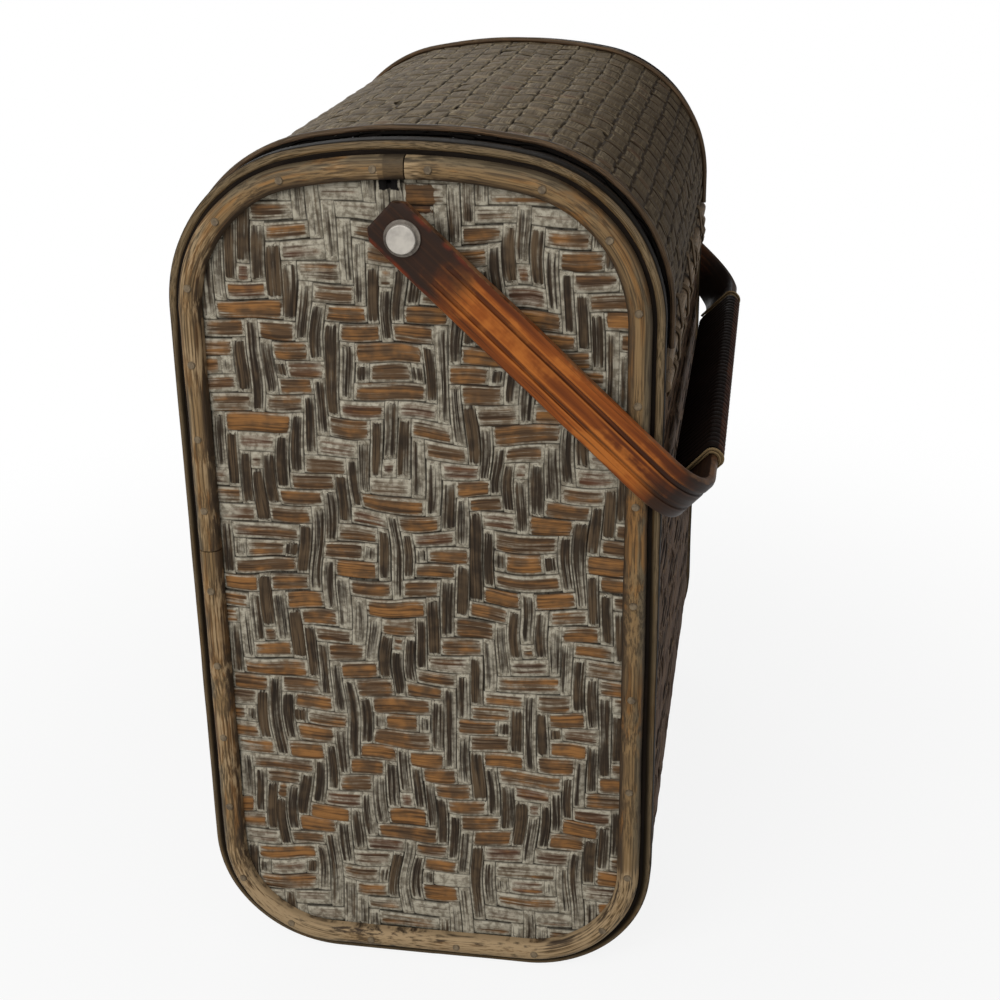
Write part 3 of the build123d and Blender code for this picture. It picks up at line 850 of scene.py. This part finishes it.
joint = stationAt(rim["jointHeight"])
for end, side in (("front", -1), ("back", 1)):
    random.seed(41 + side)
    # the outline runs clockwise as the front shows it, so the back's lengths run the other way
    longStart, longEnd = rim["jointGap"], 2 * halfOutline - joint - rim["jointGap"]
    shortStart, shortEnd = -joint + rim["jointGap"], -rim["jointGap"]
    if side > 0:
        longStart, longEnd = -longEnd, -longStart
        shortStart, shortEnd = -shortEnd, -shortStart
    for part, start, finishAt in (("long", longStart, longEnd), ("short", shortStart, shortEnd)):
        mesh = newMesh()
        addBand(mesh, start, finishAt, rimSection(), rim, rim["inset"], halfDepth, side,
                limeAndShadeAt=rimPale(-side))
        finishPiece(mesh, f"{end}_rim_{part}_cane", "basket", [f"{end}_rim_{part}"], rimFinish)
    mesh = newMesh()
    addBand(mesh, -halfOutline, halfOutline, edgeSection(), edgeBand, edgeBand["thickness"] / 2,
            halfDepth - edgeBand["setback"], side, closed=True, limeAndShadeAt=edgeShade)
    finishPiece(mesh, f"{end}_edge_cane", "basket", [f"{end}_edge_band"], edgeFinish)
    mesh = newMesh()
    reach = (margin["inner"] - margin["outer"]) / 2
    section = [(-reach, 0), (-reach, -margin["thickness"]), (reach, -margin["thickness"]), (reach, 0)]
    addBand(mesh, -halfOutline, halfOutline, section, margin, margin["outer"] + reach,
            halfDepth - margin["setback"], side, closed=True)
    finishPiece(mesh, f"{end}_margin", "basket", [], marginShadeFinish)
print("rims and edge bands bent")


# Strand of cane over the ends of the lid's splints

lidStrand = {
    "middle": 0.1010,  # from the purse's middle
    "width": 0.0032,
    "thickness": 0.0020,
    "inset": -0.0008,  # of its own middle, from the outline
    "step": 0.0025,
    "wobble": 0.00022,
}
strandLook = {
    **rimLook,
    **colours(outer=(98, 80, 60), middle=(96, 76, 56), inner=(84, 65, 48), amber=(122, 90, 58)),
    "amberShare": 0.5, "lines": 0.8, "innerEdgeShade": 0.3, "outerEdgeShade": 0.3,
}
strandFinish = caneFinish("strand_cane", strandLook)
for end, side in (("front", -1), ("back", 1)):
    random.seed(45 + side)
    mesh = newMesh()
    addBand(mesh, -lidEnd, lidEnd, roundSection(lidStrand["thickness"], lidStrand["width"], 10), lidStrand,
            lidStrand["inset"], lidStrand["middle"], side)
    finishPiece(mesh, f"lid_{end}_strand", "lid", [], strandFinish)
print("lid strands laid")


# Rods, battens and what is wound round them

rods = {
    "radius": 0.0022,
    "side": 0.0744,  # from the basket's middle
    "bow": 0.00016,
    "step": 0.006,
}
ties = {
    "strand": 0.00165,
    "thickness": 0.0008,
    "turns": 3,
    "grip": 0.0060,  # weave that a tie takes in
    "slack": 0.00006,
    "loopSlack": 0.00008,
    "sheetThickness": 0.0022,
    "sheetOut": 0.0003,  # the lid's outer face, past the basket's side
    "loopPlaces": (-0.078, -0.028, 0.028, 0.078),
}
borders = {
    "basket": {
        "height": 0.2093,
        "halfLength": 0.1102,
        "sheetMiddle": halfWidth - wall["inset"],
        "sheetEnd": 0.2062,
        "inward": 1,  # to the sheet's inside from its end
        "tiePlaces": (-0.090, -0.045, 0, 0.045, 0.090),
    },
    "lid": {
        "height": 0.2155,
        "halfLength": 0.1060,
        "sheetMiddle": halfWidth + ties["sheetOut"] - ties["sheetThickness"] / 2,
        "sheetEnd": lid["bottom"],
        "inward": -1,
        "tiePlaces": (-0.064, -0.012, 0.012, 0.064),
    },
}
borderRods = (
    ("hinge_rod", "hinge_rod_ties", "basket", 1),
    ("left_border_rod", "left_border_ties", "basket", -1),
    ("lid_hinge_batten", "lid_hinge_ties", "lid", 1),
    ("lid_closing_batten", "lid_closing_ties", "lid", -1),
)
# pale cane, made paler still as painted light, so that the rods read as lit where they lie in shade
borderLook = {
    **rimLook,
    **colours(outer=(150, 130, 106), middle=(140, 120, 97), inner=(146, 125, 101), amber=(160, 134, 104)),
    "amberShare": 0.5, "lines": 0.6, "shine": 0.1, "innerEdgeShade": 0, "outerEdgeShade": 0,
}
bindingLook = {
    **borderLook,
    **colours(outer=(108, 90, 70), middle=(124, 105, 83), inner=(108, 90, 70), amber=(136, 113, 86)),
    "innerEdgeShade": 0.5, "outerEdgeShade": 0.5,
}
borderFinish = caneFinish("border_cane", borderLook)
bindingFinish = caneFinish("binding_cane", bindingLook)


def beltRound(circles, count):
    # once round a belt about circles (centre, radius): its places, the ways out and its lengths
    places = []
    for step in range(count):
        turn = 2 * math.pi * step / count
        out = Vector((math.cos(turn), math.sin(turn)))
        centre, radius = max(circles, key=lambda circle: circle[0].dot(out) + circle[1])
        places.append((centre + out * radius, out))
    lengths = [0]
    for (here, out), (after, afterOut) in zip(places, places[1:] + places[:1]):
        lengths.append(lengths[-1] + (after - here).length)
    return places, lengths


def addWinding(mesh, circles, turns, pitch, start, section, toWorld, tone, count=24, limeAndShadeAt=None):
    # a strand wound round the circles' belt, on by pitch with each turn
    places, lengths = beltRound(circles, count)
    total = lengths[-1]
    steps = range(round(turns * count) + 1)
    stations = [total * (step // count) + lengths[step % count] for step in steps]
    seed = random.random() * 700

    def place(row, across, lift):
        spot, out = places[row % count]
        spot = spot + out * lift
        shift = wander(seed, stations[row], pitch * 0.10, 0.02)
        return toWorld(spot.x, spot.y, start + pitch * stations[row] / total + across + shift)

    def marksAt(row):
        return (tone, limeAndShadeAt(places[row % count][1]) if limeAndShadeAt else 0, 0)

    addStrip(mesh, stations, section, place, marksAt)


def addRod(mesh, side, height, halfLength):
    stations = evenStations(-halfLength, halfLength, rods["step"])
    seed = random.random() * 300

    def place(row, across, lift):
        bow = wander(seed, stations[row], rods["bow"], 0.05)
        swell = 1 + wander(seed + 5, stations[row], 0.05, 0.03)
        x = middleX + side * rods["side"] + across * swell + bow
        return Vector((x, stations[row], height + lift * swell - bow))

    addStrip(mesh, stations, roundSection(2 * rods["radius"], 2 * rods["radius"], 14), place,
             lambda row: (0.5 + wander(seed + 2, stations[row], 0.4), 0, 0))


tieSection = roundSection(ties["strand"], ties["thickness"], 8)


def addTies(mesh, circles, places):
    for place in places:
        start = place - ties["strand"] * ties["turns"] / 2
        addWinding(mesh, circles, ties["turns"], ties["strand"], start, tieSection,
                   lambda x, z, y: Vector((x, y, z)), random.random())


for name, tieName, body, side in borderRods:
    random.seed(len(name))
    mesh = newMesh()
    addRod(mesh, side, borders[body]["height"], borders[body]["halfLength"])
    finishPiece(mesh, f"{name}_cane", body, [name], borderFinish)

for name, tieName, body, side in borderRods:
    random.seed(60 + len(tieName) + side)
    mesh = newMesh()
    border = borders[body]
    out = ties["slack"] + ties["thickness"] / 2
    sheetRadius = ties["sheetThickness"] / 2
    sheetEnd = border["sheetEnd"] - border["inward"] * ties["grip"] + border["inward"] * sheetRadius
    circles = [
        (Vector((middleX + side * rods["side"], border["height"])), rods["radius"] + out),
        (Vector((middleX + side * border["sheetMiddle"], sheetEnd)), sheetRadius + out),
    ]
    addTies(mesh, circles, border["tiePlaces"])
    finishPiece(mesh, f"{tieName}_cane", body, [tieName], bindingFinish)

random.seed(71)
mesh = newMesh()
out = ties["loopSlack"] + ties["thickness"] / 2
circles = [(Vector((middleX + rods["side"], borders[body]["height"])), rods["radius"] + out)
           for body in ("basket", "lid")]
addTies(mesh, circles, ties["loopPlaces"])
finishPiece(mesh, "hinge_loops_cane", "basket", ["hinge_loops"], bindingFinish)
print("rods, ties and hinge loops bound")


# Handle: the strap, the cane wound round its grip and the two ties over the winding's ends

strap = {
    "pivotHeight": 0.256,
    "width": 0.0164,
    "thickness": 0.0035,
    "reach": 0.1185,  # from the pivot to the grip's outer face
    "endBeyond": 0.0092,
    "chamfer": 0.0032,
    "bendRadius": 0.0170,
    "fromPanel": 0.0084,  # its outer face, from the end panels
    "restGap": 0.0026,  # between the edge bands' side and the grip
    "grooveStart": 0.0170,  # past the pivot
    "grooveDepth": 0.0005,
    "grooveOffset": 0.0032,
    "grooveWidth": 0.0016,
    "edge": 0.0015,  # rounding of its edges
    "endSteps": (0, 0.0003, 0.0010, 0.0020),
    "bendSteps": 12,
    "rivetDark": (0.010, 0.026),  # its start past the pivot, and the length that it changes over
    "bendDark": (0.088, 0.022),
    "step": 0.0035,
    "wobble": 0.00012,
}
grip = {
    "turns": 45,
    "pitch": 0.0040,
    "cane": 0.00385,
    "high": 0.0018,
    "tieStrand": 0.0016,
    "tieHigh": 0.0010,
    "cornerRadius": 0.0015,
    "gap": 0.0001,
    "lessTurns": 0.9,
    "shift": 0.0002,
    "tieTurns": 2,
    "tuckTurns": 0.55,
}
innerReach = strap["reach"] - strap["thickness"]
restShare = (halfWidth + strap["restGap"]) / math.hypot(innerReach, strap["width"] / 2)
restDrop = math.acos(restShare) - math.atan2(strap["width"] / 2, innerReach)


def handlePlace(reach, across, y):
    # from the handle's own plane: out from the pivot, across the strap, and along the grip
    x = middleX + reach * math.cos(restDrop) + across * math.sin(restDrop)
    return Vector((x, y, strap["pivotHeight"] - reach * math.sin(restDrop) + across * math.cos(restDrop)))


def strapLine():
    # half of the strap's middle line, from its end to the middle of the grip
    far = strap["reach"] - strap["thickness"] / 2
    wide = halfDepth + strap["fromPanel"] - strap["thickness"] / 2
    bend = strap["bendRadius"] - strap["thickness"] / 2
    armEnd = far - bend
    spots = []
    for along in (*strap["endSteps"], strap["chamfer"]):
        spots.append((along - strap["endBeyond"], -wide, 0, -1))
    for reach in evenStations(strap["chamfer"] - strap["endBeyond"], armEnd, strap["step"])[1:-1]:
        spots.append((reach, -wide, 0, -1))
    for step in range(strap["bendSteps"] + 1):
        turn = math.pi / 2 * step / strap["bendSteps"]
        outX, outY = math.sin(turn), -math.cos(turn)
        spots.append((armEnd + bend * outX, bend - wide + bend * outY, outX, outY))
    for y in evenStations(bend - wide, 0, strap["step"])[1:]:
        spots.append((far, y, 1, 0))
    return spots


def strapSection():
    half, skin, groove = strap["width"] / 2, strap["thickness"] / 2, strap["grooveWidth"] / 2
    edge = strap["edge"]
    above = [(-half, skin - edge), (-half + 0.29 * edge, skin - 0.29 * edge), (-half + edge, skin)]
    for middle in (-strap["grooveOffset"], strap["grooveOffset"]):
        above += [(middle - groove, skin), (middle - groove * 0.7, skin - strap["grooveDepth"]),
                  (middle + groove * 0.7, skin - strap["grooveDepth"]), (middle + groove, skin)]
    above += [(-x, y) for x, y in reversed(above[:3])]
    below = [(x, -y) for x, y in reversed(above) if abs(x) > half - edge * 1.01]
    return above + below


def strapPiece(material):
    random.seed(81)
    spots = strapLine()
    spots += [(x, -y, outX, -outY) for x, y, outX, outY in reversed(spots[:-1])]
    stations = [0]
    for (x, y, outX, outY), (nextX, nextY, nextOutX, nextOutY) in zip(spots, spots[1:]):
        stations.append(stations[-1] + math.hypot(nextX - x, nextY - y))
    total = stations[-1]
    mesh = newMesh()
    seed = random.random() * 99
    half, skin = strap["width"] / 2, strap["thickness"] / 2
    grooveFloor = skin - strap["grooveDepth"]

    def place(row, across, lift):
        x, y, outX, outY = spots[row]
        fromEnd = min(stations[row], total - stations[row])
        limit = half - max(0, strap["chamfer"] - fromEnd)
        if abs(lift - grooveFloor) < 1e-6 and fromEnd < strap["endBeyond"] + strap["grooveStart"]:
            lift += strap["grooveDepth"]
        lift *= 0.86 if fromEnd < 0.0001 else 1
        worn = wander(seed + (across > 0) * 40, stations[row], strap["wobble"], 0.012)
        across = max(-limit, min(limit, across)) * (1 + worn / limit * (abs(across) > 0.006))
        lift += wander(seed + 20, stations[row], strap["wobble"], 0.03)
        return handlePlace(x + outX * lift, across, y + outY * lift)

    def marksAt(row):
        fromEnd = min(stations[row], total - stations[row]) - strap["endBeyond"]
        rivetStart, rivetReach = strap["rivetDark"]
        bendStart, bendReach = strap["bendDark"]
        nearRivet = 1 - clamped((fromEnd - rivetStart) / rivetReach)
        nearBend = clamped((fromEnd - bendStart) / bendReach)
        return (0.5, max(nearRivet, 0.92 * nearBend), nearRivet)

    addStrip(mesh, stations, strapSection(), place, marksAt)
    finishPiece(mesh, "bent_strap", "handle", ["handle_strap"], material, math.radians(40))


def strapFinish(name, look):
    # bent wood: dark at its ends and bends, pale along its worn edges, with painted shade in its grooves
    # and on its back arm and a painted highlight along the grooves' lips
    finish = Finish(name)
    place, across, tone, dark, rivet, fibre, streak = caneParts(finish, look)
    patches = finish.noise(place, 70, 4, 0.6)
    speck = finish.noise(place, 600, 3, 0.6)
    colour = finish.mix(finish.step(streak, 0.36, 0.62), look["brown"], look["orange"])
    glow = finish.step(patches + (streak - 0.5) * 0.7, 0.5, 0.68)
    colour = finish.mix(glow * 0.8, colour, look["amber"])
    colour = finish.mix((1 - finish.step(fibre, 0.34, 0.5)) * 0.7, colour, look["dark"])
    across = abs(across) * (strap["width"] / 2 * 1000)
    fromGroove = abs(across - strap["grooveOffset"] * 1000)
    # painted highlight along the lips of the grooves
    grooveLipHighlight = finish.step(fromGroove, 0.75, 1.0) * (1 - finish.step(fromGroove, 1.1, 1.7))
    colour = finish.mix(grooveLipHighlight * 0.65, colour, look["amber"])
    shade = dark + (patches - 0.5) * 0.9 + (streak - 0.5) * 0.4
    colour = finish.mix(finish.step(shade, 0.4, 0.85) * 0.95, colour, look["ends"])
    # painted shade in the grooves
    groove = (1 - finish.step(fromGroove, 0.30, 0.85)) * (1 - rivet)
    colour = finish.mix(groove * 0.35, colour, look["dark"])
    red = finish.step(across, 6.2, 7.4) * finish.step(rivet, 0.5, 0.9) * finish.step(patches, 0.42, 0.6)
    colour = finish.mix(red, colour, look["red"])
    worn = finish.step(across + (speck - 0.5) * 0.8, 7.5, 8.0)
    worn = worn * finish.step(patches + speck * 0.3, 0.45, 0.75)
    colour = finish.mix(worn * 0.8, colour, look["worn"])
    rough = 0.5 + (fibre - 0.5) * 0.3 + (patches - 0.5) * 0.25
    normal = finish.bump(fibre * 0.7 + streak * 0.5, look["relief"], 0.0004)
    # painted shade: the strap's back arm darkens towards the back
    back = finish.step(finish.parts(place)[1] + (patches - 0.5) * 0.05, 0.02, 0.10)
    colour = finish.mix(back * 0.7, colour, look["back"])
    return finish.close(Base_Color=colour, Roughness=rough, Specular_IOR_Level=look["shine"], Normal=normal)


strapLook = {
    **colours(orange=(134, 70, 25), brown=(80, 38, 15), amber=(168, 99, 41), dark=(30, 17, 10),
              ends=(35, 25, 19), red=(104, 42, 20), worn=(118, 84, 56), back=(22, 16, 13)),
    "shine": 0.14, "fibres": 7, "fibreRun": 16, "relief": 0.4,
}
strapPiece(strapFinish("strap_wood", strapLook))

wrapLook = {
    **borderLook,
    **colours(outer=(46, 30, 22), middle=(80, 49, 36), inner=(46, 30, 22), amber=(106, 66, 46),
              dark=(18, 13, 10)),
    "amberShare": 0.6, "innerEdgeShade": 0.8, "outerEdgeShade": 0.8,
}
wrapFinish = caneFinish("wrap_cane", wrapLook)
tieLook = {
    **wrapLook,
    **colours(outer=(132, 110, 78), middle=(160, 138, 102), inner=(132, 110, 78), amber=(172, 142, 96)),
    "innerEdgeShade": 0.5, "outerEdgeShade": 0.5,
}
tieFinish = caneFinish("grip_tie_cane", tieLook)


def gripCircles(lift):
    # the corners of the strap's section on the grip, for a strand whose middle is lift above it
    corner = grip["cornerRadius"]
    high, wide = strap["thickness"] / 2 - corner, strap["width"] / 2 - corner
    middle = strap["reach"] - strap["thickness"] / 2
    return [(Vector((middle + x, z)), corner + lift) for x in (-high, high) for z in (-wide, wide)]


random.seed(91)
mesh = newMesh()
wrapLength = grip["turns"] * grip["pitch"]
wrapStart = (grip["pitch"] - wrapLength) / 2 - grip["shift"]
# painted shade: the winding's face towards the basket is dark
addWinding(mesh, gripCircles(grip["gap"] + grip["high"] / 2), grip["turns"] - grip["lessTurns"],
           grip["pitch"], wrapStart, roundSection(grip["cane"], grip["high"], 8), handlePlace, 0.5,
           limeAndShadeAt=lambda out: -0.9 if out.x < -0.2 else 0)
finishPiece(mesh, "grip_winding", "handle", ["grip_wrap"], wrapFinish)

mesh = newMesh()
tieCane = roundSection(grip["tieStrand"], grip["tieHigh"], 8)
lift = grip["gap"] + grip["tieHigh"] / 2
for tieSide in (-1, 1):
    middle = tieSide * (wrapLength + 2 * grip["tieStrand"]) / 2
    addWinding(mesh, gripCircles(lift), grip["tieTurns"], grip["tieStrand"], middle - grip["tieStrand"],
               tieCane, handlePlace, 0.4)
    # the end crosses both turns on the strap's upper edge and is pulled under
    addWinding(mesh, gripCircles(lift + grip["tieHigh"] * 0.9), grip["tuckTurns"],
               tieSide * 2.6 * grip["tieStrand"], middle - tieSide * 0.7 * grip["tieStrand"],
               tieCane, handlePlace, 0.7)
finishPiece(mesh, "grip_tie_turns", "handle", ["grip_ties"], tieFinish)
print("handle bent and wound")


# Materials of the pieces that stay as they are

def plainFinish(name, look):
    finish = Finish(name)
    place = finish.node("TexCoord", output="Object")
    patches = finish.noise(place, look["patchScale"], 4, 0.6)
    fine = finish.noise(place, look["fineScale"], 3, 0.6)
    colour = finish.mix(finish.step(patches, 0.35, 0.65), look["dark"], look["light"])
    normal = finish.bump(fine, look["relief"], 0.0003)
    rough = look["rough"] + (patches - 0.5) * 0.3
    return finish.close(Base_Color=colour, Roughness=rough, Metallic=look["metallic"], Normal=normal)


looks = {
    # the inner cane, coloured darker than the cane as painted shade in the groove that it shows through
    "inner_cane": {"dark": rgb(38, 30, 23), "light": rgb(74, 59, 43), "metallic": 0, "rough": 0.75,
                   "patchScale": 60, "fineScale": 500, "relief": 0.5},
    "rivet_metal": {"dark": rgb(158, 152, 144), "light": rgb(186, 180, 170), "metallic": 0.45, "rough": 0.5,
                    "patchScale": 180, "fineScale": 1500, "relief": 0.15},
    "washer_metal": {"dark": rgb(60, 52, 44), "light": rgb(132, 124, 114), "metallic": 0.4, "rough": 0.5,
                     "patchScale": 120, "fineScale": 1500, "relief": 0.2},
    "brad_steel": {"dark": rgb(82, 68, 50), "light": rgb(122, 106, 82), "metallic": 0.2, "rough": 0.6,
                   "patchScale": 400, "fineScale": 2000, "relief": 0.3},
}
slotOf = {entry["node"]: entry["material_slot"] for entry in frame["record"]["subparts"]}
finishes = {slot: plainFinish(slot, look) for slot, look in looks.items()}
for node, piece in frame["nodes"].items():
    slot = slotOf.get(node)
    if slot in finishes:
        piece.data.materials.clear()
        piece.data.materials.append(finishes[slot])
print("materials given")


# Floor, lamps, world and camera

studio = {
    "floor": rgb(200, 200, 198),
    "floorWhite": 0.88,  # how much of the floor's own white the camera sees near the object
    "floorSize": 6,
    "world": 0.3,
    "lamps": (
        ("key", (-0.45, -1.25, 1.04), 1.0, 18.5),
        ("fill", (1.1, -0.9, 0.7), 1.2, 2),
        ("back", (-0.5, 1.2, 0.6), 1.0, 8),
    ),
}
mesh = bmesh.new()
bmesh.ops.create_grid(mesh, x_segments=1, y_segments=1, size=studio["floorSize"])
data = bpy.data.meshes.new("floor")
mesh.to_mesh(data)
mesh.free()
floor = bpy.data.objects.new("floor", data)
bpy.context.scene.collection.objects.link(floor)
floorFinish = Finish("floor_paint")
path = floorFinish.tree.nodes.new("ShaderNodeLightPath")
rayNames = ("Is Camera Ray", "Is Glossy Ray", "Is Transmission Ray")
cameraRay, glossyRay, throughRay = (Socket(floorFinish, path.outputs[name]) for name in rayNames)
seen = floorFinish.most(floorFinish.most(cameraRay, glossyRay), throughRay)
around = floorFinish.node("TexCoord", output="Object")
away = floorFinish.node("VectorMath", {"operation": "LENGTH"}, {0: around}, 1)
share = seen * (studio["floorWhite"] + floorFinish.step(away, 0.12, 0.5) * (1 - studio["floorWhite"]))
paint = floorFinish.node("BsdfDiffuse", {}, {"Color": studio["floor"]})
glow = floorFinish.node("Emission", {}, {"Color": (1, 1, 1, 1), "Strength": 1})
floorFinish.show(floorFinish.node("MixShader", {}, {0: share, 1: paint, 2: glow}))
data.materials.append(floorFinish.material)

world = bpy.data.worlds.new("studio")
bpy.context.scene.world = world
world.use_nodes = True
nodes, links = world.node_tree.nodes, world.node_tree.links
background = nodes["Background"]
background.inputs["Color"].default_value = (1, 1, 1, 1)
rays = nodes.new("ShaderNodeLightPath")
seen = nodes.new("ShaderNodeMapRange")
seen.inputs["To Min"].default_value = studio["world"]
seen.inputs["To Max"].default_value = 1
links.new(rays.outputs["Is Camera Ray"], seen.inputs["Value"])
links.new(seen.outputs["Result"], background.inputs["Strength"])

aim = Vector((middleX, 0, basket["height"] / 2))
for name, spot, size, power in studio["lamps"]:
    lamp = bpy.data.lights.new(name, "AREA")
    lamp.size = size
    lamp.energy = power
    holder = bpy.data.objects.new(name, lamp)
    holder.location = spot
    holder.rotation_euler = (aim - Vector(spot)).to_track_quat("-Z", "Y").to_euler()
    bpy.context.scene.collection.objects.link(holder)

view = {
    "place": (middleX + 0.1023, -0.576, 0.3666),
    "turn": math.radians(9.47),
    "tilt": math.radians(22.6),
    "roll": math.radians(-0.66),
    "lens": 59.2,
}
camera = bpy.data.cameras.new("camera")
camera.lens = view["lens"]
camera.sensor_width = 36
holder = bpy.data.objects.new("camera", camera)
holder.location = view["place"]
forward = Vector((-math.sin(view["turn"]) * math.cos(view["tilt"]),
                  math.cos(view["turn"]) * math.cos(view["tilt"]), -math.sin(view["tilt"])))
level = Vector((math.cos(view["turn"]), math.sin(view["turn"]), 0))
upright = level.cross(forward)
right = math.cos(view["roll"]) * level + math.sin(view["roll"]) * upright
above = math.cos(view["roll"]) * upright - math.sin(view["roll"]) * level
turned = Matrix((right, above, -forward)).transposed()
holder.rotation_euler = turned.to_euler()
bpy.context.scene.collection.objects.link(holder)
bpy.context.scene.camera = holder
bpy.context.scene.view_settings.view_transform = "Standard"

print("scene ready")
